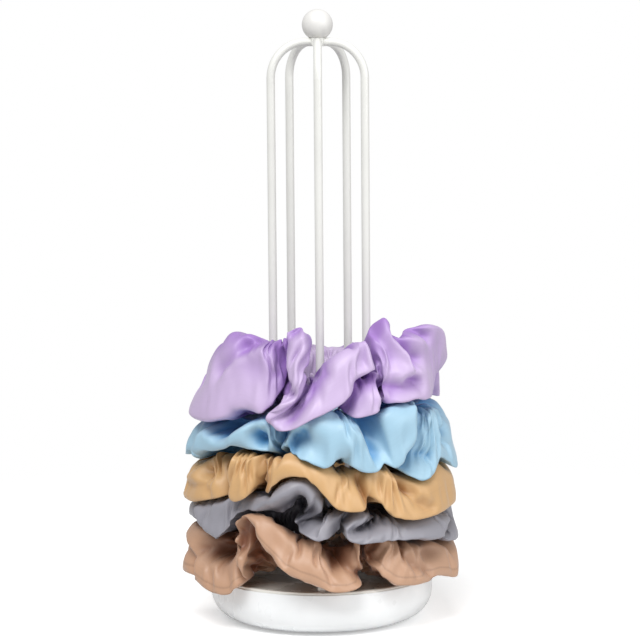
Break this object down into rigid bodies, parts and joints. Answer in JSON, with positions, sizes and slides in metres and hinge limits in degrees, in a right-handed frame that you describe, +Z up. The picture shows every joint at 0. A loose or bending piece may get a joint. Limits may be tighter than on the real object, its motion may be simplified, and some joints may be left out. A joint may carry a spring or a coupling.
{
  "type": "hair tie holder",
  "caption": "Tabletop hair tie tower: bent wires meet under a ball on a weighted round dish, loaded with stacked satin scrunchies that lift off over the top.",
  "frame": {"origin": "on the bench, at the centre of the round base's underside", "axes": "+Z up the tower; -Y is the side that the first wire stands on, towards the viewer; +X to the viewer's right"},
  "size_m": [0.1273, 0.127, 0.2776],
  "materials": {
    "base_enamel": "gloss white enamel",
    "tray_enamel": "gloss warm white enamel",
    "wire_coating": "satin warm white powder coat",
    "ball_coating": "satin off-white coat",
    "zinc_steel": "zinc plated",
    "cast_iron": "as cast",
    "foot_rubber": "matt foam rubber",
    "elastic": "knitted elastic",
    "satin_brown": "satin",
    "satin_grey": "satin",
    "satin_gold": "satin",
    "satin_blue": "satin",
    "satin_lavender": "satin"
  },
  "bodies": {
    "root": {"bowl_shell": "base_enamel", "tray_plate": "tray_enamel", "tray_boss": "zinc_steel", "base_weight": "cast_iron", "screw_washer": "zinc_steel", "base_screw": "zinc_steel", "foot_pad": "foot_rubber", "tower_hub": "wire_coating", "finial_stud": "zinc_steel", "finial_ball": "ball_coating", "tower_wire_1": "wire_coating", "tower_wire_2": "wire_coating", "tower_wire_3": "wire_coating", "tower_wire_4": "wire_coating", "tower_wire_5": "wire_coating"},
    "brown_scrunchie": {"brown_scrunchie_cover": "satin_brown", "brown_scrunchie_elastic": "elastic"},
    "grey_scrunchie": {"grey_scrunchie_cover": "satin_grey", "grey_scrunchie_elastic": "elastic"},
    "gold_scrunchie": {"gold_scrunchie_cover": "satin_gold", "gold_scrunchie_elastic": "elastic"},
    "blue_scrunchie": {"blue_scrunchie_cover": "satin_blue", "blue_scrunchie_elastic": "elastic"},
    "lavender_scrunchie": {"lavender_scrunchie_cover": "satin_lavender", "lavender_scrunchie_elastic": "elastic"}
  },
  "joints": [
    {"name": "brown_lift", "type": "slide", "parent": "root", "child": "brown_scrunchie", "axis": [0, 0, 1], "range_m": [0, 0.264]},
    {"name": "grey_lift", "type": "slide", "parent": "brown_scrunchie", "child": "grey_scrunchie", "axis": [0, 0, 1], "range_m": [0, 0.246]},
    {"name": "gold_lift", "type": "slide", "parent": "grey_scrunchie", "child": "gold_scrunchie", "axis": [0, 0, 1], "range_m": [0, 0.232]},
    {"name": "blue_lift", "type": "slide", "parent": "gold_scrunchie", "child": "blue_scrunchie", "axis": [0, 0, 1], "range_m": [0, 0.216]},
    {"name": "lavender_lift", "type": "slide", "parent": "blue_scrunchie", "child": "lavender_scrunchie", "axis": [0, 0, 1], "range_m": [0, 0.194]}
  ]
}
